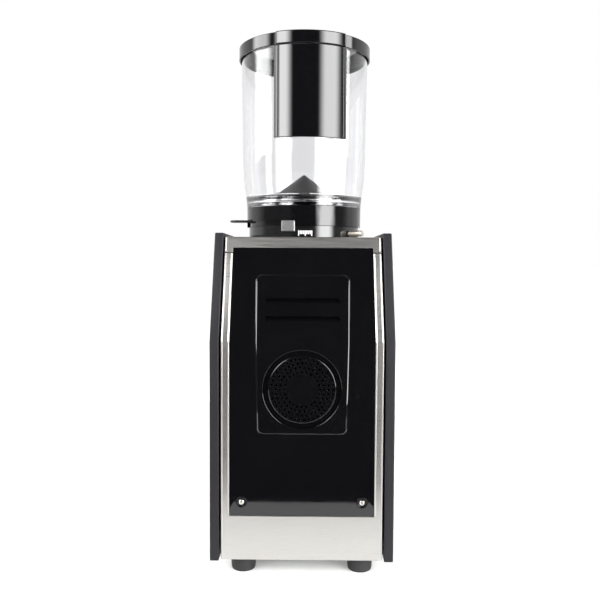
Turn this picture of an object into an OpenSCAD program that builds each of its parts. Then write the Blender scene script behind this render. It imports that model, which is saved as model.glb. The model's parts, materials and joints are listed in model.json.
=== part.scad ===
// On-demand burr coffee grinder, drawn in millimetres with +Z up.
// The origin is the middle of the footprint, on the surface that the rubber feet stand on.
// -Y is the service side with the vent cover; +Y is the serving side with the spout and fork.

/* [Body] */
// Width over the two side panels
body_w = 200; // [196:1:206]
// Whole depth, from the service side to the front of the crumb tray
body_d = 340; // [336:1:350]
// Height of the top edge of the side panels
panel_top = 379; // [377:1:380]
// Height at which the service side starts to lean inwards
kink_z = 260; // [257:1:262]
// How far the service side leans in between the kink and the top edge
rear_lean = 48; // [44:1:50]
// Height at which the serving side starts to lean inwards
front_kink_z = 300; // [297:1:301]
// How far the serving side leans in
front_lean = 18; // [16:1:19]
// Thickness of a side panel
panel_t = 10; // [8:1:11]
// Height of the feet below the side panels
foot_h = 20; // [18:1:20]

/* [Hopper] */
// Distance of the grinding axis behind the service side
axis_in = 130; // [128:1:132]
// Angle to which the hopper and its collar are turned
hopper_turn = 6; // [0:1:12]
// Outer radius of the hopper's neck
neck_r = 70; // [69.8:0.1:70.4]
// Wall of the clear hopper
hopper_wall = 2.5; // [2:0.1:2.8]
// Height of the top of the lid
lid_top = 605; // [602:1:610]

/* [Grinding] */
// Diameter of the flat burrs
burr_d = 82; // [78:1:82]
// Diameter of the bean throat through the upper burr
throat_d = 44; // [40:1:44]
// Number of cuts around each burr
burr_cuts = 24; // [16:1:30]
// Gap between the burrs at rest
burr_gap = 0.7; // [0.7:0.05:0.9]
// Diameter of the motor shaft
shaft_d = 16; // [14:1:16]
// Diameter of the motor housing
motor_d = 112; // [106:1:114]

/* [Cooling] */
// Height of the middle of the fan and its grille
fan_z = 209; // [207:1:210]
// Side of the square fan frame
fan_side = 80; // [78:1:82]
// Distance between the rings of holes in the grille
hole_step = 4.75; // [4.6:0.05:4.8]
// Diameter of one hole in the grille
hole_d = 2.5; // [2:0.1:2.8]

/* [Hidden] */
$fn = 64;

half_w = body_w / 2;
inner_w = half_w - panel_t;
rear_y = -body_d / 2;
tray_front = body_d / 2;
front_y = 70;
axis_y = rear_y + axis_in;
lean = atan(rear_lean / (panel_top - kink_z));
front_angle = atan(front_lean / (panel_top - front_kink_z));
shell_w = 176;
window_w = 157.6;
cover_w = 157;
sheet = 1.5;
base_z = foot_h + 1;
base_t = 4;
deck_z = base_z + base_t;
cover_z = panel_top - 4.5;
plate_z = 360;
plate_t = 6;
pillar_x = 76;
pillar_r = 8;
pillar_ys = [-108, 36];
foot_x = 65.6;
foot_ys = [-139, 130];
screw_x = 65.5;
screw_z = 85.3;
seam_z = 356.6;
lip_z = 362;
cover_bottom = 70.4;
face_off = 1.7;
plateau_off = 0.2;
moat_r = 42.5;
grille_r = 37;
spout_y = 104;
fork_z = 186;
fork_screw_z = fork_z + 24;
fork_screw_xs = [-24, 24];
button_z = 236;
rocker_x = 58;
rocker_z = 78;
display_z = 337;
shaft_r = shaft_d / 2;
burr_r = burr_d / 2;
throat_r = throat_d / 2;
chamber_z = 312;
lower_burr_z = 334;
burr_t = 7;
upper_burr_z = lower_burr_z + burr_t + burr_gap;
carrier_z = upper_burr_z + burr_t;
ledge_z = 352;
neck_top = 384.5;
chamber_r = 44;
thread_r = 52.3;
collar_r = 67.5;
collar_z0 = 375;
collar_z1 = 388;
lock_angle = 53;
lock_z = 380;
spring_ring_r = 48;
bowl_z = 416;
gate_z = 394.6;
gate_t = 2.2;
rim_z = 601.4;
skirt_z = 590.5;
lid_r = 80;
back_r = 81;
back_half = 30;
plateau_r = 7;
plateau_half = [48.5, 51.5];
plateau_z = [160, 332];

black = "#141415";
dark = "#3c3b3f";
steel = "#b9b7b2";

// Line of the service side, moved inwards by off, between two heights
function rear_at(z, off) = rear_y + off / cos(lean) + (z - kink_z) * tan(lean);
function rear_line(off, z0, z1) =
    [[rear_y + off, z0], [rear_y + off, kink_z - off * tan(lean / 2)], [rear_at(z1, off), z1]];
// Line of the serving side, moved inwards by off, between two heights
function front_at(z, off) = front_y - off / cos(front_angle) - (z - front_kink_z) * tan(front_angle);
function front_line(off, z0, z1) =
    [[front_y - off, z0], [front_y - off, front_kink_z - off * tan(front_angle / 2)],
     [front_at(z1, off), z1]];
function reversed(list) = [for (i = [len(list) - 1:-1:0]) list[i]];
function rear_band(a, b, z0, z1) = concat(rear_line(a, z0, z1), reversed(rear_line(b, z0, z1)));
function front_band(a, b, z0, z1) = concat(front_line(a, z0, z1), reversed(front_line(b, z0, z1)));

// Extrudes an outline of [y, z] points along X
module x_slab(w, pts) rotate([90, 0, 90]) linear_extrude(w, center = true) polygon(pts);
module on_axis() translate([0, axis_y, 0]) children();
module turned() on_axis() rotate([0, 0, hopper_turn]) children();
module box(lo, hi) translate(lo) cube(hi - lo);
module tube(ro, ri, z0, z1) translate([0, 0, z0]) difference() {
    cylinder(h = z1 - z0, r = ro);
    translate([0, 0, -1]) cylinder(h = z1 - z0 + 2, r = ri);
}
module both_sides() for (s = [-1, 1]) scale_x(s) children();
module scale_x(s) if (s > 0) children(); else mirror([1, 0, 0]) children();
module rod_y(r, y0, y1) translate([0, y0, 0]) rotate([-90, 0, 0]) cylinder(h = y1 - y0, r = r);
module rod_x(r, x0, x1) translate([x0, 0, 0]) rotate([0, 90, 0]) cylinder(h = x1 - x0, r = r);
module rounded_rect(w, h, r) {
    square([w - 2 * r, h], center = true);
    square([w, h - 2 * r], center = true);
    for (x = [-1, 1], y = [-1, 1]) translate([x * (w / 2 - r), y * (h / 2 - r)]) circle(r);
}
// Rounded block whose outline lies in the XZ plane
module y_block(w, h, r, y0, y1) translate([0, y1, 0]) rotate([90, 0, 0])
    linear_extrude(y1 - y0) rounded_rect(w, h, r);
// Centre line of a helical spring
function helix(r, h, turns, steps) =
    [for (i = [0:turns * steps])
        [r * cos(360 * i / steps), r * sin(360 * i / steps), h * i / (turns * steps)]];
module coil_spring(r, wire, h, turns) {
    sides = 6;
    steps = 12;
    path = helix(r, h, turns, steps);
    n = len(path);
    pts = [for (i = [0:n - 1], k = [0:sides - 1])
        let (a = 360 * i / steps, q = 360 * k / sides)
        [(r + wire * cos(q)) * cos(a), (r + wire * cos(q)) * sin(a), path[i][2] + wire * sin(q)]];
    walls = [for (i = [0:n - 2], k = [0:sides - 1])
        let (a = i * sides + k, b = i * sides + (k + 1) % sides) [a, b, b + sides, a + sides]];
    first = [for (k = [sides - 1:-1:0]) k];
    last = [for (k = [0:sides - 1]) (n - 1) * sides + k];
    polyhedron(pts, [for (f = concat([first], walls, [last])) reversed(f)]);
}

// ---- Frame and casing ----

module base_plate() color("#8d8c8a") difference() {
    union() {
        box([-86, rear_y + 5, base_z], [86, front_y - 6, deck_z]);
        box([-78, front_y - 6, base_z], [78, tray_front - 6, deck_z]);
    }
    for (x = [-1, 1], y = foot_ys) translate([x * foot_x, y, base_z - 1]) cylinder(h = base_t + 2, r = 2.75);
    translate([-40, -118, base_z - 1]) cylinder(h = base_t + 2, r = 8.2);
}
module feet() color("#1b1b1c") for (x = [-1, 1], y = foot_ys) translate([x * foot_x, y, 0])
    rotate_extrude() polygon([[6, 0], [12, 0], [13, 1], [13.6, 3], [14.5, foot_h - 5], [14.5, base_z],
                              [2.8, base_z], [2.8, 8], [6, 8]]);
module foot_screws() color(steel) for (x = [-1, 1], y = foot_ys) translate([x * foot_x, y, 0]) {
    translate([0, 0, 4]) cylinder(h = 4, r = 4.6);
    translate([0, 0, 8]) cylinder(h = deck_z - 8.2, r = 2.5);
    if (y < 0) translate([0, 0, deck_z - 0.2]) cylinder(h = 4.2, r = 2.5);
    if (y < 0) translate([0, 0, deck_z]) cylinder(h = 3.4, r = 4.6, $fn = 6);
}
module pillars() color("#a9a8a5") for (x = [-1, 1], y = pillar_ys)
    translate([x * pillar_x, y, deck_z]) cylinder(h = plate_z - deck_z, r = pillar_r);
module top_plate() color("#9a9997") difference() {
    box([-86, -118, plate_z], [86, 46, plate_z + plate_t]);
    on_axis() translate([0, 0, plate_z - 1]) cylinder(h = plate_t + 2, r = 58.4);
}
module side_panel() translate([half_w - panel_t / 2, 0, 0])
    x_slab(panel_t, concat(rear_line(0, foot_h, panel_top), reversed(front_line(0, foot_h, panel_top))));
module left_side_panel() color(dark) mirror([1, 0, 0]) side_panel();
module right_side_panel() color(dark) side_panel();
module panel_spacers() color("#9a9997") both_sides() for (y = pillar_ys, z = [60, 330])
    translate([0, y, z]) rod_x(6, pillar_x + pillar_r, inner_w);

// Stainless wrap of the service side, with a window for the vent cover
module rear_shell() color(steel) difference() {
    union() {
        x_slab(shell_w, rear_band(2, 2 + sheet, base_z, seam_z - 0.3));
        both_sides() translate([shell_w / 2 - sheet / 2, 0, 0])
            x_slab(sheet, rear_band(2, 14, base_z, seam_z - 0.3));
    }
    box([-window_w / 2, rear_y - 1, cover_bottom - 0.2], [window_w / 2, 0, panel_top]);
}
module top_cover() color(steel) difference() {
    union() {
        x_slab(shell_w, [[rear_at(seam_z + 0.3, 2), seam_z + 0.3], [rear_at(cover_z, 2), cover_z],
                         [rear_at(cover_z, 2 + sheet), cover_z],
                         [rear_at(seam_z + 0.3, 2 + sheet), seam_z + 0.3]]);
        x_slab(shell_w, [[rear_at(cover_z, 2), cover_z], [rear_at(cover_z - sheet, 2), cover_z - sheet],
                         [front_at(cover_z - sheet, 2), cover_z - sheet], [front_at(cover_z, 2), cover_z]]);
    }
    on_axis() translate([0, 0, cover_z - 5]) cylinder(h = 10, r = 61);
    box([-window_w / 2, rear_y - 1, seam_z - 5], [window_w / 2, -60, lip_z]);
}
module cover_rails() color("#8d8c8a") both_sides() difference() {
    translate([72, 0, 0]) x_slab(24, rear_band(4.2, 5.7, cover_bottom - 10, seam_z - 4));
    translate([screw_x, 0, screw_z]) rod_y(2.4, rear_y - 1, rear_y + 20);
}
// Outline of the plateau: a little wider at its top, with round corners
module plateau_outline() {
    low = [plateau_half[0] - plateau_r, plateau_z[0] + plateau_r];
    high = [plateau_half[1] - plateau_r, plateau_z[1] - plateau_r];
    corners = [[low[0], low[1], -90], [high[0], high[1], 0], [-high[0], high[1], 90], [-low[0], low[1], 180]];
    polygon([for (c = corners, a = [0:10:90])
        [c[0] + plateau_r * cos(c[2] + a), c[1] + plateau_r * sin(c[2] + a)]]);
}
// Gloss cover with a raised plateau, a round opening for the grille and two scooped louvres
module vent_cover() color(black) difference() {
    union() {
        x_slab(cover_w, rear_band(face_off, face_off + 2.4, cover_bottom, lip_z - 0.3));
        intersection() {
            x_slab(120, rear_band(plateau_off, face_off + 0.5, cover_bottom, lip_z - 0.3));
            rotate([90, 0, 0]) linear_extrude(-rear_y + 1) plateau_outline();
        }
    }
    translate([0, 0, fan_z]) rod_y(moat_r, rear_y - 1, rear_y + 20);
    for (z = [303, 283.6]) louvre_cut(z);
    for (x = [-1, 1]) translate([x * screw_x, 0, screw_z]) rod_y(2.4, rear_y - 1, rear_y + 20);
}
// Scoop that is deep along its top edge and runs out at its bottom edge
module louvre_cut(z) {
    half = 3.7;
    x_slab(81.2, [[rear_at(z - half, -0.5), z - half], [rear_at(z + half, -0.5), z + half],
                  [rear_at(z + half, 6), z + half], [rear_at(z + half - 2, 6), z + half - 2]]);
}
module fan_grille() color("#101011") translate([0, 0, fan_z]) difference() {
    union() {
        rod_y(grille_r, rear_y + plateau_off, rear_y + 6.4);
        rod_y(moat_r + 3, rear_y + 4.3, rear_y + 6.4);
    }
    rod_y(grille_r - 1.4, rear_y + 2.6, rear_y + 7);
    for (ring = [4:7], i = [0:6 * ring - 1]) rotate([0, 360 * i / (6 * ring), 0])
        translate([ring * hole_step, 0, 0]) rod_y(hole_d / 2, rear_y - 1, rear_y + 8, $fn = 16);
}
module cup_washers() color("#2a2a2b") for (x = [-1, 1]) translate([x * screw_x, 0, screw_z]) difference() {
    rod_y(5.8, rear_y + 0.7, rear_y + face_off);
    rod_y(2.4, rear_y, rear_y + 5);
}
module cover_screws() color("#c9c9c9") for (x = [-1, 1]) translate([x * screw_x, 0, screw_z]) {
    rod_y(2.2, rear_y + 0.7, rear_y + 9);
    difference() {
        rod_y(3.2, rear_y + 0.1, rear_y + 0.7);
        rod_y(1.5, rear_y, rear_y + 0.5, $fn = 6);
    }
}
module front_panel() color("#161617") difference() {
    x_slab(shell_w, front_band(2.5, 2.5 + sheet, deck_z + 0.3, cover_z - sheet - 0.3));
    box([-38, 0, display_z - 22], [38, front_y + 1, display_z + 22]);
    box([-22, 0, 268], [22, front_y + 1, 298]);
    translate([0, 0, button_z]) rod_y(9.5, 0, front_y + 1);
    box([rocker_x - 10, 0, rocker_z - 13], [rocker_x + 10, front_y + 1, rocker_z + 13]);
    for (x = fork_screw_xs) translate([x, 0, fork_screw_z]) rod_y(2.6, 0, front_y + 1);
}
module on_display() translate([0, front_at(display_z, 2.5), display_z])
    rotate([front_angle, 0, 0]) children();
module display_bezel() color(black) on_display() difference() {
    y_block(100, 58, 5, 0.2, 3);
    y_block(72, 40, 3, -5, 5);
}
module display_glass() color("#0a0b10") on_display() y_block(71.6, 39.6, 3, 0.2, 2.4);

// ---- Spout, fork and controls ----

module chute_housing() color(black) difference() {
    translate([0, 0, 280]) y_block(60, 48, 8, front_y - 2.3, 130);
    box([-20, front_y - 4, 270], [20, spout_y + 18, 296]);
    translate([0, spout_y, 250]) cylinder(h = 30, r = 17.5);
}
module chute_duct() color("#c0bfbc") difference() {
    duct_box(34, 24);
    duct_box(30, 20);
    box([-40, -40, 200], [40, axis_y + 58.4, 420]);
    box([-40, front_y - 5.5, 200], [40, 200, 420]);
}
module duct_box(w, h) translate([0, 20, 330]) rotate([-45, 0, 0])
    translate([-w / 2, -40, -h / 2]) cube([w, 140, h]);
module spout() color(steel) translate([0, spout_y, 0]) rotate_extrude()
    polygon([[17.3, 256], [22, 256], [22, 252], [18, 222], [15.5, 222], [17.3, 250]]);
module portafilter_fork() color(steel) difference() {
    union() {
        translate([0, 0, fork_z + 12]) y_block(70, 44, 6, front_y - 2.3, front_y + 2);
        translate([0, 0, fork_z]) linear_extrude(6) difference() {
            translate([-42, front_y + 1]) square([84, 84]);
            translate([0, front_y + 52]) circle(31);
            translate([-31, front_y + 52]) square([62, 60]);
        }
    }
    for (x = fork_screw_xs) translate([x, 0, fork_screw_z]) rod_y(2.6, 0, front_y + 5);
}
module fork_pads() color("#1b1b1c") both_sides()
    box([33, front_y + 54, fork_z + 6], [40, front_y + 83, fork_z + 8]);
module fork_screws() color("#c9c9c9") for (x = fork_screw_xs) translate([x, 0, fork_screw_z]) {
    rod_y(2.5, front_y - 12, front_y + 2);
    rod_y(4.5, front_y + 2, front_y + 4.5);
}
module button_collar() color("#2a2a2b") translate([0, 0, button_z]) difference() {
    union() {
        rod_y(9.4, front_y - 14, front_y - 2.5);
        rod_y(13, front_y - 2.5, front_y + 1);
    }
    rod_y(7.05, front_y - 15, front_y + 5);
}
module grind_button() color("#b3272b") translate([0, 0, button_z]) {
    rod_y(7, front_y - 8, front_y + 7);
    rod_y(2, front_y - 15, front_y - 8);
}
module microswitch() color("#232326")
    box([-10, front_y - 30, button_z - 6], [10, front_y - 19.5, button_z + 6]);
module switch_housing() color("#1d1d1e") translate([rocker_x, 0, rocker_z]) difference() {
    union() {
        box([-9.8, front_y - 26, -12.8], [9.8, front_y - 2.5, 12.8]);
        y_block(24, 30, 2, front_y - 2.5, front_y - 0.5);
    }
    box([-7, front_y - 15, -10.5], [7, front_y + 1, 10.5]);
    translate([0, front_y - 4, 0]) rod_x(1.5, -9, 9);
}
module power_rocker() color("#0c0c0d") translate([rocker_x, front_y - 4, rocker_z]) rotate([-8, 0, 0]) {
    difference() {
        box([-6.6, -6, -9.6], [6.6, 3.5, 9.6]);
        translate([0, 24, 0]) rod_x(22, -10, 10);
    }
    rod_x(1.45, -8.8, 8.8);
}
module crumb_tray() color("#3a3a3c") difference() {
    union() {
        box([-74, front_y + 2.5, deck_z + 0.4], [74, tray_front - 2, deck_z + 18]);
        box([-74, tray_front - 4, base_z], [74, tray_front, deck_z + 22]);
    }
    box([-72, front_y + 4.5, deck_z + 2.4], [72, tray_front - 4, deck_z + 30]);
    box([-80, tray_front - 8, base_z - 1], [80, tray_front - 4, deck_z + 0.4]);
}

// ---- Motor ----

module motor_housing() color("#8f9092") on_axis() {
    tube(motor_d / 2 - 3, 52, 150, 296);
    for (i = [0:23]) rotate([0, 0, 15 * i]) box([motor_d / 2 - 3.2, -1.2, 154], [motor_d / 2, 1.2, 292]);
}
module end_bells() color("#7d7e80") on_axis() {
    rotate_extrude() polygon([[10, 139], [30, 139], [53, 146], [53, 150], [24, 150], [17, 146],
                              [17, 143.8], [10, 143.8]]);
    rotate_extrude() polygon([[10, 311.8], [53, 311.8], [53, 296], [24, 296], [17, 298], [17, 308],
                              [10, 308]]);
}
module stator_core() color("#55565a") on_axis() tube(51.8, 31, 180, 262);
module stator_windings() color("#b0602c") on_axis() {
    tube(49, 35, 164, 180);
    tube(49, 35, 262, 280);
}
module bearings() color("#c9c9c9") on_axis() {
    tube(16.9, shaft_r + 0.05, 144, 156);
    tube(16.9, shaft_r + 0.05, 296, 307.8);
}
module motor_rotor() color("#6b6c70") on_axis() tube(30.5, shaft_r, 176, 266);
module motor_shaft() color("#d2d2d0") on_axis() {
    translate([0, 0, 134]) cylinder(h = lower_burr_z - 134, r = shaft_r);
}

// ---- Burrs and adjustment ----

module burr_chamber() color("#7b7c7e") on_axis() difference() {
    rotate_extrude($fn = 96) polygon([[9.2, chamber_z], [58, chamber_z], [58, 354], [66, 354], [66, plate_z],
        [58, plate_z], [58, neck_top], [thread_r, neck_top], [thread_r, ledge_z], [chamber_r, ledge_z],
        [chamber_r, 322], [9.2, 322]]);
    for (i = [0:2]) rotate([0, 0, 120 * i + 30]) translate([spring_ring_r, 0, 344]) cylinder(h = 10, r = 3.6);
    for (i = [0:59]) rotate([0, 0, 6 * i]) translate([59, 0, 376]) cylinder(h = 10, r = 1.8, $fn = 16);
    box([-14, 30, 324], [14, 70, 345]);
}
module burr_carrier() color("#a2a3a5") on_axis() {
    tube(14, shaft_r, 322.6, 325);
    tube(burr_r + 0.5, shaft_r, 325, lower_burr_z);
    for (i = [0:2]) rotate([0, 0, 120 * i]) box([burr_r - 1, -2, 325], [burr_r + 2.4, 2, lower_burr_z]);
}
// Ring of hardened steel whose grinding face is cut by slanting grooves
module burr(up) difference() {
    tube(burr_r, throat_r, 0, burr_t);
    for (i = [0:burr_cuts - 1]) rotate([0, 0, 360 * i / burr_cuts])
        translate([throat_r - 4, 0, up ? burr_t : 0])
        rotate([0, 0, 18]) rotate([0, up ? 6 : -6, 0]) translate([0, -1.3, -1.6]) cube([burr_r, 2.6, 3.2]);
}
module lower_burr() color("#8b8c90") on_axis() translate([0, 0, lower_burr_z]) burr(true);
module burr_bolt() color("#b8b8b6") on_axis() translate([0, 0, lower_burr_z]) {
    cylinder(h = 2, r = 12);
    translate([0, 0, 2]) cylinder(h = 6, r = 8, $fn = 6);
}
module upper_burr() color("#8b8c90") on_axis() translate([0, 0, upper_burr_z]) burr(false);
module upper_burr_carrier() color("#a2a3a5") on_axis() rotate_extrude($fn = 96)
    polygon([[throat_r, carrier_z], [chamber_r - 0.5, carrier_z], [chamber_r - 0.5, ledge_z + 1],
             [thread_r - 0.8, ledge_z + 1], [thread_r - 0.8, ledge_z + 6], [30, ledge_z + 6],
             [throat_r + 2, 366], [throat_r, 366]]);
module burr_springs() color("#c4c4c2") on_axis() for (i = [0:2]) rotate([0, 0, 120 * i + 30])
    translate([spring_ring_r, 0, 344.7]) coil_spring(2.6, 0.5, 7.6, 4);
// Collar that screws into the chamber and turns to set the grind
module adjusting_collar() color(black) on_axis() difference() {
    rotate_extrude($fn = 96) polygon([[chamber_r, 358.7], [thread_r - 0.3, 358.7],
        [thread_r - 0.3, neck_top + 0.5],
        [59, neck_top + 0.5], [59, collar_z0], [collar_r, collar_z0], [collar_r, collar_z1],
        [chamber_r, collar_z1]]);
    on_lock() translate([0, 0, lock_z]) rod_y(2.55, -80, -50);
}
module on_lock() rotate([0, 0, lock_angle]) children();
// Catch on the collar that holds the hopper's foot
module index_block() color("#a9a9a9") on_axis() difference() {
    box([-25, -73, 381.5], [-10, -60, 393.6]);
    translate([0, 0, 380]) cylinder(h = 8, r = collar_r);
    translate([0, 0, collar_z1 - 0.01]) cylinder(h = 10, r = neck_r + 0.5);
}
module scale_marks() color("white") on_axis() for (i = [0:8]) rotate([0, 0, 1.6 * i - 95]) {
    tall = i % 4 == 0 ? 2 : 0;
    rotate_extrude(angle = 0.8) translate([collar_r, 378.4 - tall]) square([0.3, 4 + tall]);
}
module lock_pin() color("#b5b1a8") on_axis() on_lock() translate([0, 0, lock_z]) {
    rod_y(2.5, -69, -62);
    rod_y(1.5, -62, -58.4);
    rod_y(3.7, -84, -69);
    rod_y(3.3, -86.5, -84);
}

// ---- Hopper ----

module hopper_base() color("#171718") turned() difference() {
    rotate_extrude($fn = 96) polygon([[throat_r, collar_z1 + 0.1], [41, collar_z1 + 0.1], [41, 385.5],
        [43.5, 385.5], [43.5, collar_z1 + 0.1], [67.1, collar_z1 + 0.1], [67.1, bowl_z], [64.5, bowl_z],
        [throat_r, 400], [throat_r, gate_z + gate_t + 0.3], [62, gate_z + gate_t + 0.3],
        [62, gate_z - 0.3], [throat_r, gate_z - 0.3]]);
    gate_slot();
}
module gate_slot() box([-80, -25.4, gate_z - 0.3], [0, 25.4, gate_z + gate_t + 0.3]);
module gate_slide() color("#202022") turned() translate([0, 0, gate_z]) intersection() {
    linear_extrude(gate_t) {
        translate([-68, -25]) square([93, 50]);
        translate([-84, -11]) square([20, 22]);
        translate([-84, 0]) scale([0.64, 1]) circle(11);
    }
    box([-91, -30, -1], [40, 30, 5]);
}
// Outline of the clear hopper: radius and height along its outer wall
wall_line = [[neck_r + 0.2, 411], [neck_r + 0.5, 417], [neck_r + 1.2, 423.5], [neck_r + 2.8, 436],
             [neck_r + 4.1, 448], [neck_r + 5.2, 473], [neck_r + 5.4, 497], [neck_r + 6.6, 571],
             [neck_r + 7.2, rim_z]];
module hopper() color([0.85, 0.87, 0.88, 0.35]) turned() difference() {
    rotate_extrude($fn = 128) polygon(concat([[67.3, collar_z1 + 0.4], [neck_r, collar_z1 + 0.4]], wall_line,
        [for (i = [len(wall_line) - 1:-1:2]) wall_line[i] - [hopper_wall, 0]],
        [[64, bowl_z + 3.2], [62, bowl_z + 3.2], [62, bowl_z + 0.3], [67.3, bowl_z + 0.3]]));
    gate_slot();
    rotate([0, 0, 180]) rotate_extrude(angle = 64)
        translate([66, collar_z1]) square([10, gate_z - collar_z1]);
}
module spreader_cone() color("#28282b") turned() {
    rotate_extrude() polygon([[0, 454], [0, 425.5], [37, 425.5], [38, 426.5], [2, 453]]);
    for (a = [-90, 90]) rotate([0, 0, a]) {
        box([28, -3.5, bowl_z + 3.2], [34, 3.5, 425.5]);
        box([28, -3.5, bowl_z + 3.2], [63, 3.5, bowl_z + 5]);
    }
}
module sector(half, pts) rotate([0, 0, -90 - half]) rotate_extrude(angle = 2 * half, $fn = 128) polygon(pts);
module hopper_back_panel() color(black) turned() {
    sector(back_half, [[78.4, 487], [back_r, 487], [back_r, skirt_z - 0.3], [78.4, skirt_z - 0.3]]);
    for (s = [-1, 1]) rotate([0, 0, s * (back_half - 1)])
        sector(1, [[77.3, 487], [back_r - 1, 487], [back_r - 1, skirt_z - 0.3], [77.3, skirt_z - 0.3]]);
}
module lid() color(black) turned() {
    rotate_extrude($fn = 128) polygon([[0, lid_top - 3], [78.2, lid_top - 3], [78.2, skirt_z],
        [lid_r, skirt_z], [lid_r, lid_top - 1.5], [lid_r - 1.5, lid_top], [0, lid_top]]);
    sector(back_half - 1, [[lid_r - 0.5, skirt_z], [83, skirt_z], [83, lid_top - 1.5], [81.5, lid_top],
                           [lid_r - 0.5, lid_top]]);
}
module lid_seal() color("#3a3a3c") turned() tube(73.2, 70, lid_top - 11, lid_top - 3);

// ---- Cooling and electrics ----

module fan_frame() color("#1d1d1f") translate([0, 0, fan_z]) {
    difference() {
        y_block(fan_side, fan_side, 5, rear_y + 8, rear_y + 33);
        rod_y(38, rear_y, rear_y + 40);
        for (x = [-1, 1], z = [-1, 1]) translate([x * 35.5, 0, z * 35.5]) rod_y(2.1, rear_y, rear_y + 40);
    }
    rod_y(16, rear_y + 30, rear_y + 33);
    for (a = [0:90:270]) rotate([0, a, 0]) box([15, rear_y + 30, -2], [39, rear_y + 33, 2]);
    rod_y(2, rear_y + 14, rear_y + 30);
}
module fan_rotor() color("#2b2b2e") translate([0, 0, fan_z]) {
    difference() {
        rod_y(17, rear_y + 10, rear_y + 29);
        rod_y(2.05, rear_y + 12, rear_y + 30);
    }
    for (i = [0:6]) rotate([0, 360 * i / 7, 0]) translate([0, rear_y + 19.5, 0])
        translate([16, 0, 0]) rotate([32, 0, 0]) box([0, -9, -1], [20.5, 9, 1]);
}
module run_capacitor() color("#cfd0d2") translate([-52, 18, deck_z]) cylinder(h = 82, r = 20);
module control_board() color("#1f5a36") {
    box([-6, -100, deck_z + 12], [74, -20, deck_z + 13.6]);
    for (x = [0, 68], y = [-94, -26]) translate([x, y, deck_z]) cylinder(h = 12, r = 3);
    box([6, -84, deck_z + 13.6], [36, -52, deck_z + 40]);
    box([46, -60, deck_z + 13.6], [66, -34, deck_z + 26]);
}
module cable_gland() color("#222224") translate([-40, -118, 0]) difference() {
    union() {
        translate([0, 0, 8]) cylinder(h = base_z - 8, r = 11, $fn = 6);
        translate([0, 0, base_z]) cylinder(h = 12, r = 8);
        translate([0, 0, deck_z]) cylinder(h = 5, r = 11, $fn = 6);
    }
    translate([0, 0, 5]) cylinder(h = 40, r = 4);
}

base_plate();
feet();
foot_screws();
pillars();
top_plate();
left_side_panel();
right_side_panel();
panel_spacers();
rear_shell();
top_cover();
cover_rails();
vent_cover();
fan_grille();
cup_washers();
cover_screws();
front_panel();
display_bezel();
display_glass();
chute_housing();
chute_duct();
spout();
portafilter_fork();
fork_pads();
fork_screws();
button_collar();
grind_button();
microswitch();
switch_housing();
power_rocker();
crumb_tray();
motor_housing();
end_bells();
stator_core();
stator_windings();
bearings();
motor_rotor();
motor_shaft();
burr_chamber();
burr_carrier();
lower_burr();
burr_bolt();
upper_burr();
upper_burr_carrier();
burr_springs();
adjusting_collar();
index_block();
scale_marks();
lock_pin();
hopper_base();
gate_slide();
hopper();
spreader_cone();
hopper_back_panel();
lid();
lid_seal();
fan_frame();
fan_rotor();
run_capacitor();
control_board();
cable_gland();
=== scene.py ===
"""Looks of an on-demand burr coffee grinder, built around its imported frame. Units are metres."""
import json
import math

import bmesh
import bpy
from mathutils import Matrix, Vector


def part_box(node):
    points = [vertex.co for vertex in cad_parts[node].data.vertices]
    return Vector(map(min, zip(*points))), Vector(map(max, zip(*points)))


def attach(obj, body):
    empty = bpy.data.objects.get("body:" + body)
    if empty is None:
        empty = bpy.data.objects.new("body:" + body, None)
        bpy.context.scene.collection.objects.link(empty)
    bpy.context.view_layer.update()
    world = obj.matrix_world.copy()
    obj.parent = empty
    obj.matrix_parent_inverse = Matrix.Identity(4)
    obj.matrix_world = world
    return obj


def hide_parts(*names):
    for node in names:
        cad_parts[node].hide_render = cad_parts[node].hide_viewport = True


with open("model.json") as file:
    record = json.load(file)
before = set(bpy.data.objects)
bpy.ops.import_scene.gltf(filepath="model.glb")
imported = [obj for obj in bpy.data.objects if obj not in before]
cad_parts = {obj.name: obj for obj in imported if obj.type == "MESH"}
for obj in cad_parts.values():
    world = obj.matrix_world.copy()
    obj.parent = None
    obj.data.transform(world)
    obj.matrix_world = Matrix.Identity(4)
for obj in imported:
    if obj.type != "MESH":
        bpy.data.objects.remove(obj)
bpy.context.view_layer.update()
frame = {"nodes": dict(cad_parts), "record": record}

MM = 0.001
SCENE = bpy.context.scene

# ---- Camera, floor and light ----

# Distance of the lights from the grinding axis
LIGHT_DISTANCE = 1.8
FACE_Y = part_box("left_side_panel")[0].y
AXIS_Y = (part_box("adjusting_collar")[0].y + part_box("adjusting_collar")[1].y) / 2


CAMERA_ACROSS = 0.0058
CAMERA_DISTANCE = 0.7517
CAMERA_HEIGHT = 0.346
CAMERA_TIP = math.radians(3.07)
CAMERA_ROLL = -0.0048
CAMERA_SWING = 0.01165


def make_camera():
    """Camera in front of the service side, a little above mid height and tipped down 3 degrees."""
    data = bpy.data.cameras.new("camera")
    data.sensor_width = 36
    data.lens = 42.3
    camera = bpy.data.objects.new("camera", data)
    camera.location = (CAMERA_ACROSS, FACE_Y - CAMERA_DISTANCE, CAMERA_HEIGHT)
    camera.rotation_euler = (math.pi / 2 - CAMERA_TIP, CAMERA_ROLL, CAMERA_SWING)
    SCENE.collection.objects.link(camera)
    SCENE.camera = camera


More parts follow.
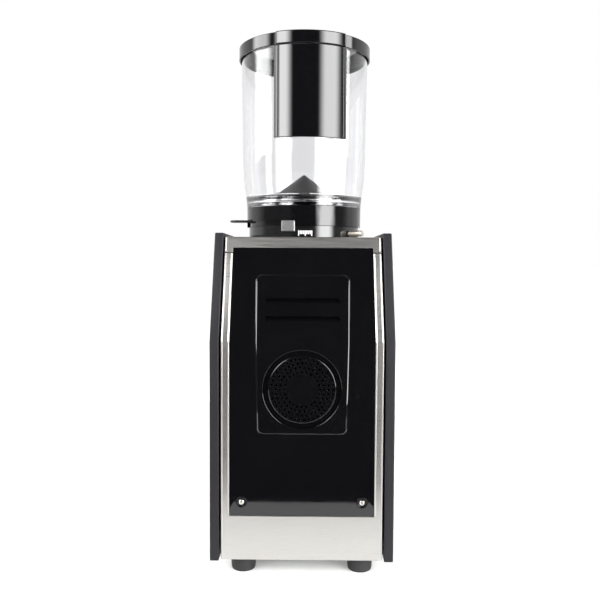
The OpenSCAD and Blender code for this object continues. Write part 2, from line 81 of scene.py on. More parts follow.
def make_floor(name, low, high, height, material, near):
    """Rectangle of floor between two corners. Only the near part stops the low lights and shows in gloss."""
    bm = bmesh.new()
    bmesh.ops.create_grid(bm, x_segments=1, y_segments=1, size=0.5)
    bmesh.ops.scale(bm, vec=(high[0] - low[0], high[1] - low[1], 1), verts=bm.verts)
    middle = ((low[0] + high[0]) / 2, (low[1] + high[1]) / 2, height)
    bmesh.ops.translate(bm, vec=middle, verts=bm.verts)
    mesh = bpy.data.meshes.new(name)
    bm.to_mesh(mesh)
    bm.free()
    mesh.materials.append(material)
    floor = bpy.data.objects.new(name, mesh)
    SCENE.collection.objects.link(floor)
    floor.visible_glossy = near
    floor.visible_shadow = near


def make_softbox(name, azimuths, heights, radiance, soft):
    """Upright light that fills a range of azimuths in degrees, counted from the camera's side.

    It fades towards its two sides over a part of its width.
    """
    low, high = (math.radians(a) for a in azimuths)
    middle = (low + high) / 2
    data = bpy.data.lights.new(name, "AREA")
    data.shape = "RECTANGLE"
    data.size = 2 * LIGHT_DISTANCE * math.tan((high - low) / 2)
    data.size_y = heights[1] - heights[0]
    data.energy = radiance * math.pi * data.size * data.size_y
    light = bpy.data.objects.new(name, data)
    depth = AXIS_Y - LIGHT_DISTANCE * math.cos(middle)
    light.location = (LIGHT_DISTANCE * math.sin(middle), depth, sum(heights) / 2)
    light.rotation_euler = (math.pi / 2, 0, middle)
    light.visible_camera = False
    SCENE.collection.objects.link(light)
    data.use_nodes = True
    fade_sides(data.node_tree, soft)


def fade_sides(tree, soft):
    """Dims a light from its full strength to nothing over the outer part of its width."""
    tree.nodes.clear()
    place = add(tree, "ShaderNodeNewGeometry").outputs["Parametric"]
    across = add(tree, "ShaderNodeSeparateXYZ", {0: place})
    offset = add(tree, "ShaderNodeMath", {0: across.outputs["X"], 1: 0.5}, operation="SUBTRACT")
    away = add(tree, "ShaderNodeMath", {0: offset.outputs[0]}, operation="ABSOLUTE")
    fade = add(tree, "ShaderNodeMapRange",
               {"Value": away.outputs[0], "From Min": 0.5, "From Max": 0.5 - soft},
               interpolation_type="SMOOTHSTEP")
    glow = add(tree, "ShaderNodeEmission", {"Strength": fade.outputs[0]})
    add(tree, "ShaderNodeOutputLight", {"Surface": glow.outputs[0]})


# Tone of the room from its front, at 0, round to its back, at 1
ROOM_TONES = [(0.03, 0.02), (0.06, 0.16), (0.45, 0.22), (0.6, 0.95)]
FILL_TONE = 0.45


def make_world():
    """White backdrop, a grey room at the sides and a dark window in front, as gloss reflects them."""
    world = bpy.data.worlds.new("studio")
    world.use_nodes = True
    tree = world.node_tree
    tree.nodes.clear()
    way = add(tree, "ShaderNodeTexCoord").outputs["Generated"]
    level = add(tree, "ShaderNodeVectorMath", {0: way, 1: (1, 1, 0)}, operation="MULTIPLY")
    heading = add(tree, "ShaderNodeVectorMath", {0: level.outputs[0]}, operation="NORMALIZE")
    depth = add(tree, "ShaderNodeSeparateXYZ", {0: heading.outputs[0]})
    place = add(tree, "ShaderNodeMapRange", {"Value": depth.outputs["Y"], "From Min": -1})
    room = add(tree, "ShaderNodeValToRGB", {"Fac": place.outputs[0]})
    stops = room.color_ramp.elements
    stops[1].position = ROOM_TONES[1][0]
    for at, _ in ROOM_TONES[2:]:
        stops.new(at)
    for stop, (at, tone) in zip(stops, ROOM_TONES):
        stop.position = at
        stop.color = (tone, tone, tone, 1)
    path = add(tree, "ShaderNodeLightPath")
    spread = add(tree, "ShaderNodeMix", {"Factor": path.outputs["Is Diffuse Ray"], "A": room.outputs[0],
                                         "B": (FILL_TONE, FILL_TONE, FILL_TONE, 1)}, data_type="RGBA")
    direct = add(tree, "ShaderNodeMath", {0: path.outputs["Glossy Depth"], 1: 0.5},
                 operation="LESS_THAN")
    through = add(tree, "ShaderNodeMath",
                  {0: path.outputs["Is Transmission Ray"], 1: direct.outputs[0]}, operation="MULTIPLY")
    seen = add(tree, "ShaderNodeMath", {0: path.outputs["Is Camera Ray"], 1: through.outputs[0]},
               operation="MAXIMUM")
    tone = add(tree, "ShaderNodeMix", {"Factor": seen.outputs[0], "A": spread.outputs[2], "B": (1, 1, 1, 1)},
               data_type="RGBA")
    back = add(tree, "ShaderNodeBackground", {"Color": tone.outputs[2]})
    add(tree, "ShaderNodeOutputWorld", {"Surface": back.outputs[0]})
    SCENE.world = world
    SCENE.view_settings.view_transform = "Standard"


def add(tree, kind, inputs=None, **settings):
    """Adds one node: its properties, then what each input is set to or linked from."""
    node = tree.nodes.new(kind)
    for name, value in settings.items():
        setattr(node, name, value)
    for name, value in (inputs or {}).items():
        socket = node.inputs[name]
        if name in ("Factor", "A", "B") and kind == "ShaderNodeMix":
            socket = [s for s in node.inputs if s.name == name and s.enabled][0]
        if isinstance(value, bpy.types.NodeSocket):
            tree.links.new(value, socket)
        else:
            socket.default_value = value
    return node


# ---- Shaping ----

def raise_piece(name, bm, material, body, *replaced, sharp=35):
    """Turns a bmesh into a finished piece that rides on a body and stands for CAD nodes."""
    mesh = bpy.data.meshes.new(name)
    bm.to_mesh(mesh)
    bm.free()
    mesh.shade_smooth()
    mesh.set_sharp_from_angle(angle=math.radians(sharp))
    mesh.materials.append(material)
    piece = bpy.data.objects.new(name, mesh)
    SCENE.collection.objects.link(piece)
    even = piece.modifiers.new("even_normals", "WEIGHTED_NORMAL")
    even.keep_sharp = True
    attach(piece, body)
    if replaced:
        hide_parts(*replaced)
    return piece


def merged(node):
    """Merged copy of a CAD node whose flat faces are whole again."""
    bm = bmesh.new()
    bm.from_mesh(frame["nodes"][node].data)
    bmesh.ops.remove_doubles(bm, verts=bm.verts, dist=0.002 * MM)
    bmesh.ops.dissolve_limit(bm, angle_limit=math.radians(0.5), verts=bm.verts, edges=bm.edges)
    return bm


def round_edges(bm, width, segments=2, angle=30, chosen=None):
    """Rounds the edges sharper than an angle, or those that a test picks from them."""
    edges = [e for e in bm.edges
             if len(e.link_faces) == 2 and e.calc_face_angle(0) > math.radians(angle)
             and (chosen is None or chosen(e))]
    bmesh.ops.bevel(bm, geom=edges, offset=width, offset_type="OFFSET", segments=segments, profile=0.5,
                    affect="EDGES", clamp_overlap=True, material=-1)


def spun(outline, centre=(0, 0, 0), steps=96, angle=2 * math.pi, start=0):
    """Solid of revolution about Z from a closed outline of (radius, height) points in metres."""
    bm = bmesh.new()
    verts = [bm.verts.new((r, 0, z)) for r, z in outline]
    edges = [bm.edges.new((verts[i], verts[(i + 1) % len(verts)])) for i in range(len(verts))]
    whole = abs(angle - 2 * math.pi) < 1e-6
    if not whole:
        bmesh.ops.contextual_create(bm, geom=edges)
    bmesh.ops.rotate(bm, verts=bm.verts, cent=(0, 0, 0), matrix=Matrix.Rotation(start, 3, "Z"))
    geom = bm.verts[:] + bm.edges[:] + bm.faces[:]
    bmesh.ops.spin(bm, geom=geom, cent=(0, 0, 0), axis=(0, 0, 1), angle=angle, steps=steps,
                   use_merge=whole, use_duplicate=False)
    bmesh.ops.remove_doubles(bm, verts=bm.verts, dist=0.001 * MM)
    bmesh.ops.dissolve_degenerate(bm, edges=bm.edges, dist=0.001 * MM)
    bmesh.ops.recalc_face_normals(bm, faces=bm.faces)
    bmesh.ops.translate(bm, vec=centre, verts=bm.verts)
    return bm


def block(low, high):
    """Box between two corners."""
    bm = bmesh.new()
    low, high = Vector(low), Vector(high)
    bmesh.ops.create_cube(bm, size=1)
    bmesh.ops.scale(bm, vec=high - low, verts=bm.verts)
    bmesh.ops.translate(bm, vec=(low + high) / 2, verts=bm.verts)
    return bm


def join(*parts):
    """All the given bmeshes in one."""
    whole = bmesh.new()
    for part in parts:
        mesh = bpy.data.meshes.new("part")
        part.to_mesh(mesh)
        part.free()
        whole.from_mesh(mesh)
        bpy.data.meshes.remove(mesh)
    return whole


def turn(bm, angle, axis, centre=(0, 0, 0)):
    """Turns a whole bmesh about an axis through a point."""
    bmesh.ops.rotate(bm, verts=bm.verts, cent=centre, matrix=Matrix.Rotation(angle, 3, axis))


def bar(start, end, radius, segments=16):
    """Round bar between two points."""
    bm = bmesh.new()
    way = Vector(end) - Vector(start)
    bmesh.ops.create_cone(bm, cap_ends=True, segments=segments, radius1=radius, radius2=radius,
                          depth=way.length)
    bmesh.ops.rotate(bm, verts=bm.verts, matrix=way.to_track_quat("Z", "Y").to_matrix())
    bmesh.ops.translate(bm, vec=(Vector(start) + Vector(end)) / 2, verts=bm.verts)
    return bm


# Part of a side that the rounding of one corner may take
ROUND_REACH = 0.45


def rounded(outline, radius, steps=4, sharp=()):
    """Closed outline whose corners are turned into arcs, apart from the corners listed as sharp."""
    points = []
    for i, corner in enumerate(outline):
        here = Vector(corner)
        back = Vector(outline[i - 1]) - here
        onward = Vector(outline[(i + 1) % len(outline)]) - here
        if i in sharp or here.x == 0:
            points.append(here)
            continue
        reach = min(radius, back.length * ROUND_REACH, onward.length * ROUND_REACH)
        a = here + back.normalized() * reach
        b = here + onward.normalized() * reach
        for k in range(steps + 1):
            t = k / steps
            points.append(a * (1 - t) ** 2 + here * 2 * t * (1 - t) + b * t ** 2)
    return points


def from_mm(outline):
    """Outline given in millimetres, in metres."""
    return [(r * MM, z * MM) for r, z in outline]


def facing(bm, x, y, z):
    """Turns a piece made around Z so that its top faces the service side, and puts it in place."""
    turn(bm, math.pi / 2, "X")
    bmesh.ops.translate(bm, vec=(x, y, z), verts=bm.verts)
    return bm


SLOT_OF = {row["node"]: row["material_slot"] for row in frame["record"]["subparts"]}
BODY_OF = {node: body for body, nodes in frame["record"]["behaviour"]["bodies"].items() for node in nodes}


# ---- Finishes ----

def linear(hex_colour, alpha=1.0):
    """Linear colour of an sRGB hex value."""
    channels = [int(hex_colour[i:i + 2], 16) / 255 for i in (1, 3, 5)]
    steps = [c / 12.92 if c <= 0.04045 else ((c + 0.055) / 1.055) ** 2.4 for c in channels]
    return (*steps, alpha)


def surface(name, colour, **sockets):
    """A Principled surface with constant sockets. Returns the material, its shader and object coordinates."""
    material = bpy.data.materials.new(name)
    material.use_nodes = True
    tree = material.node_tree
    tree.nodes.clear()
    constants = {key.replace("_", " "): value for key, value in sockets.items()}
    shader = add(tree, "ShaderNodeBsdfPrincipled", {"Base Color": linear(colour), **constants})
    add(tree, "ShaderNodeOutputMaterial", {"Surface": shader.outputs[0]})
    coords = add(tree, "ShaderNodeTexCoord").outputs["Object"]
    return material, shader, coords


def mottle(coords, size, stretch=(1, 1, 1), detail=4):
    """Uneven pattern with patches of about one size in metres, drawn out along axes by stretch."""
    tree = coords.id_data
    scale = [1 / (size * part) for part in stretch]
    spread = add(tree, "ShaderNodeMapping", {"Vector": coords, "Scale": scale})
    noise = add(tree, "ShaderNodeTexNoise", {"Vector": spread.outputs[0], "Scale": 1, "Detail": detail})
    return noise.outputs[0]


def tint(shader, pattern, dark, light):
    """Colours the surface between two tones along a pattern."""
    tree = shader.id_data
    tone = add(tree, "ShaderNodeMix", {"Factor": pattern, "A": linear(dark), "B": linear(light)},
               data_type="RGBA")
    tree.links.new([s for s in tone.outputs if s.enabled][0], shader.inputs["Base Color"])


def polish(shader, pattern, smooth, dull):
    """Varies the roughness between two values along a pattern."""
    tree = shader.id_data
    level = add(tree, "ShaderNodeMapRange", {"Value": pattern, "From Min": 0.3, "From Max": 0.7,
                                             "To Min": smooth, "To Max": dull})
    tree.links.new(level.outputs[0], shader.inputs["Roughness"])


def relief(shader, pattern, depth, strength=1.0):
    """Gives the surface a relief of a depth in metres along a pattern."""
    tree = shader.id_data
    bump = add(tree, "ShaderNodeBump", {"Height": pattern, "Distance": depth, "Strength": strength})
    tree.links.new(bump.outputs[0], shader.inputs["Normal"])


def polished_abs():
    """Black ABS from a polished mould: near mirror, with a faint orange peel and fine wipe marks."""
    material, shader, coords = surface("polished_black_abs", "#050506", Roughness=0.05, IOR=1.52)
    tint(shader, mottle(coords, 40 * MM), "#040405", "#070708")
    polish(shader, mottle(coords, 3 * MM, (8, 1, 1), 6), 0.03, 0.07)
    relief(shader, mottle(coords, 9 * MM, detail=1), 0.006 * MM)
    return material


def satin_abs():
    """Black ABS from a spark-eroded mould: even fine grain that softens the light."""
    material, shader, coords = surface("grained_black_abs", "#121213", Roughness=0.42, IOR=1.52)
    tint(shader, mottle(coords, 12 * MM), "#0f0f10", "#171718")
    polish(shader, mottle(coords, 2 * MM), 0.36, 0.5)
    relief(shader, mottle(coords, 0.5 * MM, detail=2), 0.012 * MM)
    return material


def pebbled(name, colour, light):
    """Satin skin with a small even pebble: powder coat on sheet, or acetal from a grained mould.

    The pebble is drawn at 0.7 mm so that it shows. The specular level is half the default, since the
    pebble shades part of what it would mirror.
    """
    material, shader, coords = surface(name, colour, Roughness=0.46, IOR=1.5, Specular_IOR_Level=0.25)
    tint(shader, mottle(coords, 25 * MM), colour, light)
    polish(shader, mottle(coords, 4 * MM), 0.4, 0.54)
    relief(shader, mottle(coords, 0.7 * MM, detail=2), 0.02 * MM)
    return material


def brushed_stainless():
    """Stainless sheet brushed along X: fine long streaks that spread highlights across the grain."""
    material, shader, coords = surface("brushed_stainless", "#c4c1bb", Metallic=1.0, Roughness=0.3)
    streaks = mottle(coords, 0.35 * MM, (90, 1, 1), 5)
    tint(shader, streaks, "#a6a4a1", "#b6b4b1")
    polish(shader, streaks, 0.26, 0.4)
    relief(shader, streaks, 0.01 * MM)
    return material


def moulded_rubber():
    """Black rubber from a dull mould: deep matte with a soft bloom."""
    material, shader, coords = surface("moulded_rubber", "#161617", Roughness=0.68, IOR=1.5)
    tint(shader, mottle(coords, 6 * MM), "#131314", "#202021")
    relief(shader, mottle(coords, 0.8 * MM, detail=3), 0.03 * MM)
    return material


def black_anodised():
    """Black anodised aluminium, turned before dyeing: fine rings around Z under a hard dark skin."""
    material, shader, coords = surface("black_anodised_aluminium", "#0d0d0e", Roughness=0.1, IOR=1.6)
    rings = mottle(coords, 0.3 * MM, (400, 400, 1), 3)
    tint(shader, mottle(coords, 15 * MM), "#0b0b0c", "#121213")
    polish(shader, rings, 0.07, 0.13)
    relief(shader, rings, 0.004 * MM)
    return material


def bare_metal(name, dark, light, smooth, dull, size, stretch=(1, 1, 1), depth=0.006):
    """Uncoated metal whose tool marks, casting skin or plating follow one pattern."""
    material, shader, coords = surface(name, dark, Metallic=1.0, Roughness=smooth)
    marks = mottle(coords, size * MM, stretch, 5)
    tint(shader, marks, dark, light)
    polish(shader, marks, smooth, dull)
    relief(shader, marks, depth * MM)
    return material


def clear_san():
    """Clear moulded styrene acrylonitrile: a faint grey wall with slight flow lines and hairline wear."""
    material, shader, coords = surface("clear_san", "#f6f6f7", Roughness=0.02, IOR=1.49,
                                       Transmission_Weight=1.0)
    polish(shader, mottle(coords, 5 * MM, (1, 1, 4), 6), 0.01, 0.035)
    relief(shader, mottle(coords, 45 * MM, detail=1), 0.004 * MM)
    return material


def screen_glass():
    """Cover glass over a screen that is off: deep blue black and very smooth."""
    material, shader, coords = surface("screen_glass", "#07080c", Roughness=0.03, IOR=1.52)
    tint(shader, mottle(coords, 30 * MM), "#06070a", "#0a0c12")
    polish(shader, mottle(coords, 8 * MM, detail=6), 0.02, 0.06)
    return material


def printed_ink():
    """White screen-printed ink: matte, a little uneven in cover."""
    material, shader, coords = surface("white_ink", "#e9e9e7", Roughness=0.55)
    tint(shader, mottle(coords, 0.8 * MM), "#d9d9d7", "#f4f4f2")
    return material


def circuit_laminate():
    """Glass epoxy board under green solder mask, with the weave just showing."""
    material, shader, coords = surface("solder_mask", "#1f5a36", Roughness=0.3, IOR=1.55)
    tint(shader, mottle(coords, 1.2 * MM, (1, 4, 1)), "#1a4f2f", "#28683f")
    relief(shader, mottle(coords, 1 * MM, (1, 5, 1)), 0.02 * MM)
    return material


def pale_floor(name, glow):
    """Plain pale matte floor. Its far part glows a little, so that it stays white beyond the lamps."""
    return surface(name, "#f4f4f3", Roughness=0.6, Emission_Color=linear("#ffffff"),
                   Emission_Strength=glow)[0]


FINISH = {
    "zinc_steel": bare_metal("zinc_plated_steel", "#8f918f", "#b3b5b3", 0.34, 0.5, 2.5),
    "rubber": moulded_rubber(),
    "panel_grey": pebbled("grey_powder_coat", "#131215", "#18171a"),
    "stainless": brushed_stainless(),
    "gloss_black": polished_abs(),
    "dark_metal": bare_metal("blackened_steel", "#1c1c1e", "#29292b", 0.2, 0.32, 0.6),
    "bright_metal": bare_metal("nickel_plated_steel", "#b9b6af", "#d6d3cc", 0.16, 0.28, 0.6),
    "black_paint": pebbled("black_powder_coat", "#151516", "#1b1b1c"),
    "display_glass": screen_glass(),
    "satin_black": satin_abs(),
    "aluminium": bare_metal("machined_aluminium", "#b4b4b4", "#cdcdcd", 0.25, 0.38, 0.4, (1, 30, 1)),
    "button_plastic": pebbled("grey_acetal", "#55565a", "#606166"),
    "cast_aluminium": bare_metal("cast_aluminium", "#8b8c8e", "#a3a4a6", 0.45, 0.62, 0.9, depth=0.03),
    "lamination": bare_metal("laminated_steel", "#5b5c60", "#7a7b80", 0.4, 0.55, 0.5, (200, 200, 1), 0.05),
    "winding": bare_metal("enamelled_copper", "#9b4f22", "#c2713b", 0.25, 0.4, 0.9, (1, 1, 6), 0.2),
    "burr_steel": bare_metal("ground_tool_steel", "#85868a", "#a5a6ab", 0.2, 0.34, 0.3),
    "black_anodised": black_anodised(),
    "white_ink": printed_ink(),
    "clear_plastic": clear_san(),
    "capacitor_shell": bare_metal("drawn_aluminium", "#b9babc", "#d0d1d3", 0.25, 0.36, 0.5, (1, 1, 40)),
    "circuit_board": circuit_laminate(),
    "satin_nickel": bare_metal("satin_nickel_plate", "#cbc4b9", "#dcd6cb", 0.36, 0.46, 0.6),
}


# ---- Set ----

# The floor is three sheets, each a little below the one before: a table top, a floor and what is beyond
TABLE_REACH = 0.245
TABLE_HALF = 0.5
TABLE_BACK = 0.6
FLOOR_LOW = (-1.1, -1.3)
FLOOR_HIGH = (1.1, 0.8)
BEYOND = 40
FLOOR_STEP = 0.5 * MM
pale = pale_floor("pale_floor", 0.13)
make_camera()
make_floor("table_top", (-TABLE_HALF, FACE_Y - TABLE_REACH), (TABLE_HALF, TABLE_BACK), 0, pale, True)
make_floor("floor", FLOOR_LOW, FLOOR_HIGH, -FLOOR_STEP, pale, False)
make_floor("floor_far", (-BEYOND, -BEYOND), (BEYOND, 1.5 * BEYOND), -2 * FLOOR_STEP,
           pale_floor("pale_floor_far", 0.6), False)
make_world()

# Each light: its azimuths, the heights of its ends, its radiance, and how much of its width fades.
# The low strips are under the floor, which lets their light through.
make_softbox("right_softbox", (22, 66), (0.02, 1.6), 15, 0.35)
make_softbox("right_side_softbox", (70, 90), (0.62, 1.9), 9, 0.3)
make_softbox("left_softbox", (-54, -18), (0.62, 1.7), 17, 0.4)
make_softbox("left_side_softbox", (-102, -57), (0.62, 1.9), 10, 0.3)
make_softbox("right_low_strip", (18, 46), (-0.75, -0.12), 3, 0.3)
make_softbox("left_low_strip", (-60, -16), (-0.75, -0.12), 4, 0.3)

# ---- Pieces from the frame ----

for node, obj in frame["nodes"].items():
    obj.data.materials.clear()
    obj.data.materials.append(FINISH[SLOT_OF[node]])

# Shape of the service side, read from a side panel
NEAR = 0.01 * MM
panel_points = [v.co for v in frame["nodes"]["left_side_panel"].data.vertices]
KINK_Z = max(p.z for p in panel_points if p.y < FACE_Y + NEAR)
PANEL_TOP = max(p.z for p in panel_points)
TOP_Y = min(p.y for p in panel_points if p.z > PANEL_TOP - NEAR)
LEAN = (TOP_Y - FACE_Y) / (PANEL_TOP - KINK_Z)

GRILLE = (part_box("fan_grille")[0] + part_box("fan_grille")[1]) / 2
DISC_R = 37 * MM
OPENING_R = 44 * MM
PLATEAU_HALF = 44 * MM
PLATEAU_LOW = 170 * MM
PLATEAU_HIGH = 322 * MM
FACE_OFF = 1.7 * MM
# Painted shade: a dark sheet behind both louvres, leaning with the cover, that stands in for the shade inside
# them
SHADE_SHEET_LOW = (-PLATEAU_HALF, 0, 274 * MM)
SHADE_SHEET_HIGH = (PLATEAU_HALF, 0.8 * MM, 312 * MM)
SHADE_SHEET_OFF = 5.2 * MM
# The hopper stands a little turned on the grinding axis
HOPPER_TURN = math.radians(6)
LID_R = 80 * MM
# In millimetres, as the outlines of the hopper's pieces are
HOPPER_WALL = 2.5
SLEEVE_TOP = 411.4
GROOVE_R = 80
# The back panel's strips: inner and outer radius, half width and direction in degrees, and steps
BACK_STRIPS = [(78.4, 81.0, 26.6, 0, 40), (78.4, 79.4, 29.0, 0, 40), (77.4, 81.1, 1.75, 29.3, 6),
               (77.4, 81.1, 1.75, -29.3, 6)]


def rear_at(z, off):
    """Depth of the service side at a height, moved inwards by an offset across the sheet."""
    slope = math.sqrt(1 + LEAN ** 2) if z > KINK_Z else 1
    return FACE_Y + off * slope + max(0, z - KINK_Z) * LEAN


def on_plateau(point):
    """Says whether a point is on the raised part of the vent cover."""
    return point.y < rear_at(point.z, 0.7 * MM)


def from_grille(point):
    """Distance of a point from the grille's axis."""
    return math.hypot(point.x - GRILLE.x, point.z - GRILLE.z)


def on_flank(point):
    """Says whether a point is at the foot of the plateau's flanks."""
    across = 45 * MM < abs(point.x) < 56 * MM
    up = 150 * MM < point.z < 340 * MM
    return across and up and abs(point.y - rear_at(point.z, FACE_OFF)) < 0.12 * MM


def off_louvres(point):
    """Says whether a point is outside the area that holds the louvres and the round opening."""
    return abs(point.x) > PLATEAU_HALF or not PLATEAU_LOW < point.z < PLATEAU_HIGH


def both(test):
    """Test for an edge that asks for the same of both its ends."""
    return lambda edge: all(test(v.co) for v in edge.verts)


def make_vent_cover():
    """Gloss cover: a wide soft edge around its plateau and round opening, small ones elsewhere.

    The foot of the plateau's flanks is drawn out a little to catch the light.
    """
    bm = merged("vent_cover")
    opening = both(lambda p: on_plateau(p) and from_grille(p) < OPENING_R)
    outline = both(lambda p: on_plateau(p) and off_louvres(p))
    round_edges(bm, 1.3 * MM, 5, 40, opening)
    round_edges(bm, 1.4 * MM, 1, 40, outline)
    flank = [v for v in bm.verts if on_flank(v.co)]
    bmesh.ops.scale(bm, vec=(1.01, 1, 1), verts=flank)
    round_edges(bm, 0.5 * MM, 2, 50)
    # Painted shade: a dark sheet closes the louvres from behind, in place of the shade inside them
    shade_sheet = block(SHADE_SHEET_LOW, SHADE_SHEET_HIGH)
    for v in shade_sheet.verts:
        v.co.y += rear_at(v.co.z, SHADE_SHEET_OFF)
    raise_piece("vent_cover_moulding", join(bm, shade_sheet), FINISH["gloss_black"], "chassis", "vent_cover")


def make_fan_grille():
    """Disc with a soft rim and rings of small countersunk holes that catch the light."""
    bm = merged("fan_grille")
    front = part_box("fan_grille")[0].y + 0.2 * MM
    rim = both(lambda p: p.y < front and from_grille(p) > DISC_R - 0.5 * MM)
    holes = both(lambda p: p.y < front and from_grille(p) < DISC_R - 0.5 * MM)
    round_edges(bm, 1.2 * MM, 5, 40, rim)
    round_edges(bm, 0.5 * MM, 2, 40, holes)
    raise_piece("fan_grille_disc", bm, FINISH["gloss_black"], "chassis", "fan_grille")


HEM_OFF = 2.6 * MM
HEM_R = 1.1 * MM


def hem(x, low, high, radius):
    """Rolled edge that runs up the service side and follows its kink."""
    stops = [low] + ([KINK_Z] if low < KINK_Z < high else []) + [high]
    ends = [(x, rear_at(z, HEM_OFF), z) for z in stops]
    return [bar(a, b, radius) for a, b in zip(ends, ends[1:])]


def make_casing():
    """Stainless wrap and lip with rolled hems beside the vent cover and along the side panels."""
    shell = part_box("rear_shell")
    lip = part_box("top_cover")
    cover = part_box("vent_cover")
    inner = cover[1].x + 1.4 * MM
    outer = shell[1].x - HEM_R
    bm = merged("rear_shell")
    round_edges(bm, 0.65 * MM, 3)
    hems = []
    for side in (-1, 1):
        hems += hem(side * inner, cover[0].z, shell[1].z - 1 * MM, 1.2 * MM)
        hems += hem(side * outer, shell[0].z + 1 * MM, shell[1].z - 1 * MM, HEM_R)
    low = cover[0].z - 1.3 * MM
    depth = rear_at(low, HEM_OFF)
    hems.append(bar((-inner, depth, low), (inner, depth, low), HEM_R))
    raise_piece("rear_shell_sheet", join(bm, *hems), FINISH["stainless"], "chassis", "rear_shell")
    bm = merged("top_cover")
    bend = both(lambda p: p.z > lip[1].z - 0.1 * MM and p.y < rear_at(p.z, 2.5 * MM))
    round_edges(bm, 1.3 * MM, 4, 30, bend)
    round_edges(bm, 0.5 * MM, 2, 60)
    hems = []
    for side in (-1, 1):
        hems += hem(side * outer, shell[1].z + 1.6 * MM, lip[1].z - 1.4 * MM, HEM_R)
    raise_piece("top_cover_sheet", join(bm, *hems), FINISH["stainless"], "chassis", "top_cover")


SCREW_R = 3.2 * MM
STUD_X = 59 * MM
STUD_Z = 201.6 * MM


def make_cover_fixings():
    """Button-head screws with a round socket, each in a turned black cup washer, and a small stud."""
    heads = []
    cups = []
    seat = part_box("cup_washers")[1].y
    low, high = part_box("cover_screws")
    reach = high.x - SCREW_R
    height = (low.z + high.z) / 2
    cup = [(2.3, 0.02), (2.3, 0.3), (3.6, 0.3), (4.9, 1.0), (5.5, 1.25), (6.0, 1.05), (6.2, 0.5),
           (6.2, 0.02)]
    dome = [(0, 0.55), (1.35, 0.55), (1.4, 1.5), (2.1, 1.42), (2.7, 1.05), (3.0, 0.5), (3.0, 0.25),
            (0, 0.25)]
    for x in (-reach, reach):
        cups.append(facing(spun(from_mm(cup), steps=48), x, seat, height))
        heads.append(facing(spun(from_mm(dome), steps=36), x, seat, height))
    raise_piece("cup_washer_pair", join(*cups), FINISH["dark_metal"], "chassis", "cup_washers", sharp=50)
    raise_piece("cover_screw_pair", join(*heads), FINISH["bright_metal"], "chassis", "cover_screws",
                sharp=50)
    pin = [(0, 0.1), (1.1, 0.1), (1.5, 0.0), (1.5, -1), (0, -1)]
    bm = facing(spun(from_mm(pin), steps=24), STUD_X, seat, STUD_Z)
    piece = raise_piece("cover_stud", bm, FINISH["gloss_black"], "chassis")


def hopper_sector(half, outline, centre=-90, steps=48):
    """Part of a ring about the hopper's axis, half degrees to each side of a direction."""
    start = math.radians(centre - half) + HOPPER_TURN
    return spun(outline, (0, AXIS_Y, 0), steps, math.radians(2 * half), start)


def ring_box(inner, outer, low, high, radius):
    """Rounded cross-section between two radii and two heights, in metres."""
    return rounded([(inner, low), (outer, low), (outer, high), (inner, high)], radius)


def soften_ends(bm, width, segments):
    """Rounds the edges where a sector was cut off, which are the steepest that it has."""
    ends = [e for e in bm.edges if len(e.link_faces) == 2 and e.calc_face_angle(0) > math.radians(60)]
    bmesh.ops.bevel(bm, geom=ends, offset=width, offset_type="OFFSET", segments=segments, profile=0.5,
                    affect="EDGES", clamp_overlap=True, material=-1)


def make_hopper_back_panel():
    """Curved gloss panel behind the beans, with a groove and a rounded rail along each side."""
    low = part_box("hopper_back_panel")[0].z
    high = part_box("hopper_back_panel")[1].z
    parts = []
    for inner, outer, half, centre, steps in BACK_STRIPS:
        outline = ring_box(inner * MM, outer * MM, low, high, 0.8 * MM)
        strip = hopper_sector(half, outline, centre - 90, steps)
        if outer > GROOVE_R:
            soften_ends(strip, 0.7 * MM, 3)
        parts.append(strip)
    raise_piece("hopper_back_moulding", join(*parts), FINISH["gloss_black"], "hopper", "hopper_back_panel")


def make_lid():
    """Gloss cap with a deep rim, a shallow dished top and a raised grip above the back panel."""
    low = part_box("lid")[0].z
    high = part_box("lid")[1].z
    skirt = LID_R - 1.8 * MM
    cap = [(0, high - 3 * MM), (skirt, high - 3 * MM), (skirt, low), (LID_R, low), (LID_R, high),
           (LID_R - 6 * MM, high), (LID_R - 7.5 * MM, high - 0.8 * MM), (0, high - 0.8 * MM)]
    body = spun(rounded(cap, 1.1 * MM, 4, sharp=(1,)), (0, AXIS_Y, 0), 128)
    grip = hopper_sector(29, ring_box(LID_R - 2.5 * MM, LID_R + 3 * MM, low, high, 1.4 * MM))
    soften_ends(grip, 1.2 * MM, 4)
    raise_piece("lid_moulding", join(body, grip), FINISH["gloss_black"], "lid", "lid")


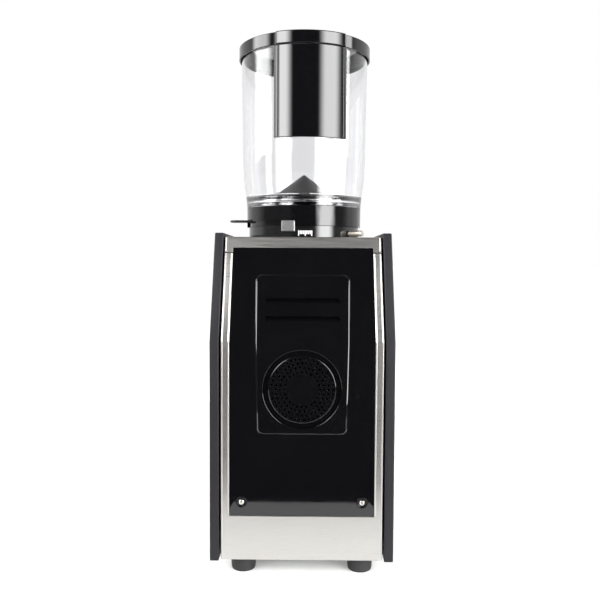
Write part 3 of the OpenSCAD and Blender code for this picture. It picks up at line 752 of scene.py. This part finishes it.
def make_hopper():
    """Clear bowl on a gloss black sleeve that is one piece with the base, and the cone over the throat."""
    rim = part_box("hopper")[1].z / MM
    outer = [(70.5, 417), (71.2, 423.5), (72.8, 436), (74.1, 448), (75.2, 473), (75.4, 497),
             (76.6, 571), (77.2, rim)]
    inner = [(r - HOPPER_WALL, z) for r, z in reversed(outer[1:])]
    ledge = [(64, 419.2), (62, 419.2), (62, 416.3), (67.3, 416.3), (67.3, SLEEVE_TOP), (70.2, SLEEVE_TOP)]
    bowl = spun(rounded(from_mm(outer + inner + ledge), 3 * MM, 4), (0, AXIS_Y, 0), 192)
    raise_piece("hopper_bowl", bowl, FINISH["clear_plastic"], "hopper", "hopper", sharp=50)
    sleeve = merged("hopper")
    base = merged("hopper_base")
    bmesh.ops.bisect_plane(sleeve, geom=sleeve.verts[:] + sleeve.edges[:] + sleeve.faces[:],
                           plane_co=(0, 0, SLEEVE_TOP * MM), plane_no=(0, 0, 1), clear_outer=True)
    bmesh.ops.bridge_loops(sleeve, edges=[e for e in sleeve.edges if e.is_boundary])
    bmesh.ops.recalc_face_normals(sleeve, faces=sleeve.faces)
    for bm in (sleeve, base):
        round_edges(bm, 0.4 * MM)
    raise_piece("hopper_sleeve", join(sleeve, base), FINISH["gloss_black"], "hopper", "hopper_base")
    cone = merged("spreader_cone")
    round_edges(cone, 0.5 * MM)
    raise_piece("spreader_cone_moulding", cone, FINISH["satin_black"], "hopper", "spreader_cone")


def make_lock_pin():
    """Satin nickel knob of the spring pin: a plain round body with a slightly smaller end."""
    bm = merged("lock_pin")
    round_edges(bm, 0.4 * MM)
    raise_piece("lock_pin_knob", bm, FINISH["satin_nickel"], "lock_pin", "lock_pin")


make_vent_cover()
make_hopper()
make_lock_pin()
make_fan_grille()
make_casing()
make_cover_fixings()
make_hopper_back_panel()
make_lid()

# Radius in millimetres on the edges of the other parts, with the segments that it takes
EDGES = {
    "left_side_panel": (1.2, 3), "right_side_panel": (1.2, 3), "front_panel": (0.4, 2),
    "display_bezel": (0.8, 2), "display_glass": (0.5, 2), "chute_housing": (1.6, 3), "spout": (0.4, 2),
    "portafilter_fork": (0.8, 2), "fork_pads": (0.5, 2), "button_collar": (0.8, 2), "grind_button": (0.8, 2),
    "switch_housing": (0.6, 2), "power_rocker": (0.5, 2), "crumb_tray": (0.8, 2),
    "adjusting_collar": (0.6, 2), "index_block": (0.6, 2), "gate_slide": (0.5, 2),
    "base_plate": (0.5, 2), "cable_gland": (0.6, 2), "feet": (0.6, 2),
}
for node, (radius, segments) in EDGES.items():
    part = merged(node)
    round_edges(part, radius * MM, segments)
    raise_piece("finished_" + node, part, FINISH[SLOT_OF[node]], BODY_OF[node], node)
